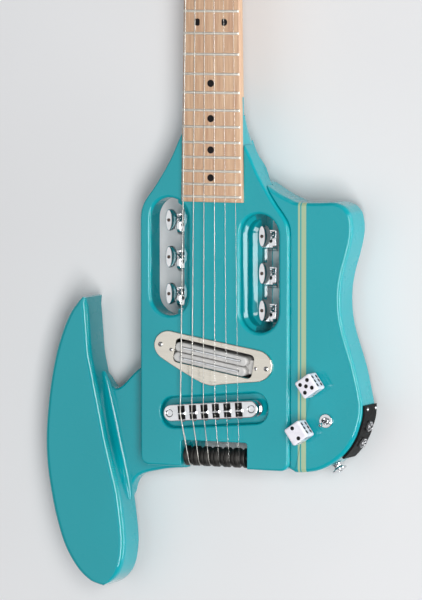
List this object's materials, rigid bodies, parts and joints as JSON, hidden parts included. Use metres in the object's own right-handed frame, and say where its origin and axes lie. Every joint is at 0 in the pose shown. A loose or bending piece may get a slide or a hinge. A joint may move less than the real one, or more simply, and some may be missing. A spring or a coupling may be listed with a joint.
{
  "type": "travel guitar",
  "caption": "Headless electric travel guitar with body tuners, string rollers, single pickup, dice-shaped knobs and a detachable curved armrest.",
  "frame": {"origin": "middle of the outer box in X and Y, on the surface that the guitar lies on with its back down", "axes": "+Z out of the face, +Y along the neck to the head, +X to the treble side"},
  "size_m": [0.2992, 0.817, 0.0575],
  "materials": {
    "teal_lacquer": "high gloss lacquer over wood",
    "maple": "satin",
    "bone": "satin",
    "chrome": "polished",
    "steel": "satin",
    "black_metal": "satin black",
    "black_plastic": "matt",
    "white_plastic": "gloss"
  },
  "bodies": {
    "body": {"neck_core": "maple", "front_cap": "teal_lacquer", "treble_wing": "teal_lacquer", "fretboard": "maple", "nut": "bone", "string_anchor": "steel", "truss_rod": "steel", "guitar_string_1": "steel", "guitar_string_2": "steel", "guitar_string_3": "steel", "guitar_string_4": "steel", "guitar_string_5": "steel", "guitar_string_6": "steel", "pickup_ring": "chrome", "pickup_housing": "steel", "pickup_core": "steel", "bridge_bar": "chrome", "bridge_post_bass": "chrome", "bridge_post_treble": "chrome", "roller_axle": "steel", "tuner_housings_bass": "chrome", "tuner_housings_treble": "chrome", "volume_potentiometer": "steel", "tone_potentiometer": "steel", "toggle_switch": "chrome", "side_plate": "black_plastic", "output_jack": "chrome", "headphone_jack": "chrome", "control_cover": "black_plastic", "strap_button_end": "chrome", "strap_button_heel": "chrome"},
    "armrest": {"armrest": "teal_lacquer"},
    "thumbscrew": {"armrest_thumbscrew": "steel"},
    "volume_knob": {"volume_knob": "white_plastic"},
    "tone_knob": {"tone_knob": "white_plastic"},
    "lever": {"toggle_lever": "chrome"},
    "tuner_button_1": {"tuner_button_1": "chrome"},
    "tuner_post_1": {"tuner_post_1": "steel"},
    "tuner_button_2": {"tuner_button_2": "chrome"},
    "tuner_post_2": {"tuner_post_2": "steel"},
    "tuner_button_3": {"tuner_button_3": "chrome"},
    "tuner_post_3": {"tuner_post_3": "steel"},
    "tuner_button_4": {"tuner_button_4": "chrome"},
    "tuner_post_4": {"tuner_post_4": "steel"},
    "tuner_button_5": {"tuner_button_5": "chrome"},
    "tuner_post_5": {"tuner_post_5": "steel"},
    "tuner_button_6": {"tuner_button_6": "chrome"},
    "tuner_post_6": {"tuner_post_6": "steel"},
    "saddle_1": {"saddle_1": "chrome"},
    "roller_1": {"string_roller_1": "black_metal"},
    "saddle_2": {"saddle_2": "chrome"},
    "roller_2": {"string_roller_2": "black_metal"},
    "saddle_3": {"saddle_3": "chrome"},
    "roller_3": {"string_roller_3": "black_metal"},
    "saddle_4": {"saddle_4": "chrome"},
    "roller_4": {"string_roller_4": "black_metal"},
    "saddle_5": {"saddle_5": "chrome"},
    "roller_5": {"string_roller_5": "black_metal"},
    "saddle_6": {"saddle_6": "chrome"},
    "roller_6": {"string_roller_6": "black_metal"}
  },
  "joints": [
    {"name": "armrest_slide", "type": "slide", "parent": "body", "child": "armrest", "axis": [-1, 0, 0], "range_m": [0, 0.045]},
    {"name": "thumbscrew_turn", "type": "hinge", "parent": "body", "child": "thumbscrew", "pos_m": [-0.04149, -0.2615, 0.02], "axis": [0, 0, 1], "continuous": true},
    {"name": "volume_turn", "type": "hinge", "parent": "body", "child": "volume_knob", "pos_m": [0.10281, -0.2273, 0.045], "axis": [0, 0, 1], "range_deg": [-150, 150]},
    {"name": "tone_turn", "type": "hinge", "parent": "body", "child": "tone_knob", "pos_m": [0.09311, -0.2673, 0.045], "axis": [0, 0, 1], "range_deg": [-150, 150]},
    {"name": "lever_flip", "type": "hinge", "parent": "body", "child": "lever", "pos_m": [0.11381, -0.2576, 0.0417], "axis": [1, 0, 0], "range_deg": [-28, 0]},
    {"name": "tuner_button_1_turn", "type": "hinge", "parent": "body", "child": "tuner_button_1", "pos_m": [-0.03189, -0.0919, 0.02], "axis": [0, 0, 1], "continuous": true},
    {"name": "tuner_post_1_turn", "type": "hinge", "parent": "body", "child": "tuner_post_1", "pos_m": [-0.01349, -0.0994, 0.012], "axis": [1, 0, 0], "continuous": true},
    {"name": "tuner_button_2_turn", "type": "hinge", "parent": "body", "child": "tuner_button_2", "pos_m": [-0.03189, -0.1233, 0.02], "axis": [0, 0, 1], "continuous": true},
    {"name": "tuner_post_2_turn", "type": "hinge", "parent": "body", "child": "tuner_post_2", "pos_m": [-0.01349, -0.1308, 0.012], "axis": [1, 0, 0], "continuous": true},
    {"name": "tuner_button_3_turn", "type": "hinge", "parent": "body", "child": "tuner_button_3", "pos_m": [-0.03189, -0.1547, 0.02], "axis": [0, 0, 1], "continuous": true},
    {"name": "tuner_post_3_turn", "type": "hinge", "parent": "body", "child": "tuner_post_3", "pos_m": [-0.01349, -0.1622, 0.012], "axis": [1, 0, 0], "continuous": true},
    {"name": "tuner_button_4_turn", "type": "hinge", "parent": "body", "child": "tuner_button_4", "pos_m": [0.05491, -0.1036, 0.02], "axis": [0, 0, 1], "continuous": true},
    {"name": "tuner_post_4_turn", "type": "hinge", "parent": "body", "child": "tuner_post_4", "pos_m": [0.03651, -0.1111, 0.012], "axis": [1, 0, 0], "continuous": true},
    {"name": "tuner_button_5_turn", "type": "hinge", "parent": "body", "child": "tuner_button_5", "pos_m": [0.05491, -0.135, 0.02], "axis": [0, 0, 1], "continuous": true},
    {"name": "tuner_post_5_turn", "type": "hinge", "parent": "body", "child": "tuner_post_5", "pos_m": [0.03651, -0.1425, 0.012], "axis": [1, 0, 0], "continuous": true},
    {"name": "tuner_button_6_turn", "type": "hinge", "parent": "body", "child": "tuner_button_6", "pos_m": [0.05491, -0.1664, 0.02], "axis": [0, 0, 1], "continuous": true},
    {"name": "tuner_post_6_turn", "type": "hinge", "parent": "body", "child": "tuner_post_6", "pos_m": [0.03651, -0.1739, 0.012], "axis": [1, 0, 0], "continuous": true},
    {"name": "saddle_1_slide", "type": "slide", "parent": "body", "child": "saddle_1", "axis": [-0.0854, 0.9963, 0], "range_m": [0, 0.004]},
    {"name": "roller_1_turn", "type": "hinge", "parent": "body", "child": "roller_1", "pos_m": [-0.01224, -0.2927, 0.0364], "axis": [1, 0, 0], "continuous": true},
    {"name": "saddle_2_slide", "type": "slide", "parent": "body", "child": "saddle_2", "axis": [-0.0854, 0.9963, 0], "range_m": [0, 0.004]},
    {"name": "roller_2_turn", "type": "hinge", "parent": "body", "child": "roller_2", "pos_m": [-0.00274, -0.2927, 0.0364], "axis": [1, 0, 0], "continuous": true},
    {"name": "saddle_3_slide", "type": "slide", "parent": "body", "child": "saddle_3", "axis": [-0.0854, 0.9963, 0], "range_m": [0, 0.004]},
    {"name": "roller_3_turn", "type": "hinge", "parent": "body", "child": "roller_3", "pos_m": [0.00676, -0.2927, 0.0364], "axis": [1, 0, 0], "continuous": true},
    {"name": "saddle_4_slide", "type": "slide", "parent": "body", "child": "saddle_4", "axis": [-0.0854, 0.9963, 0], "range_m": [0, 0.004]},
    {"name": "roller_4_turn", "type": "hinge", "parent": "body", "child": "roller_4", "pos_m": [0.01626, -0.2927, 0.0364], "axis": [1, 0, 0], "continuous": true},
    {"name": "saddle_5_slide", "type": "slide", "parent": "body", "child": "saddle_5", "axis": [-0.0854, 0.9963, 0], "range_m": [0, 0.004]},
    {"name": "roller_5_turn", "type": "hinge", "parent": "body", "child": "roller_5", "pos_m": [0.02576, -0.2927, 0.0364], "axis": [1, 0, 0], "continuous": true},
    {"name": "saddle_6_slide", "type": "slide", "parent": "body", "child": "saddle_6", "axis": [-0.0854, 0.9963, 0], "range_m": [0, 0.004]},
    {"name": "roller_6_turn", "type": "hinge", "parent": "body", "child": "roller_6", "pos_m": [0.03526, -0.2927, 0.0364], "axis": [1, 0, 0], "continuous": true}
  ],
  "couplings": [
    {"joint": "tuner_post_1_turn", "follows": "tuner_button_1_turn", "ratio": -0.071429},
    {"joint": "tuner_post_2_turn", "follows": "tuner_button_2_turn", "ratio": -0.071429},
    {"joint": "tuner_post_3_turn", "follows": "tuner_button_3_turn", "ratio": -0.071429},
    {"joint": "tuner_post_4_turn", "follows": "tuner_button_4_turn", "ratio": 0.071429},
    {"joint": "tuner_post_5_turn", "follows": "tuner_button_5_turn", "ratio": 0.071429},
    {"joint": "tuner_post_6_turn", "follows": "tuner_button_6_turn", "ratio": 0.071429}
  ]
}
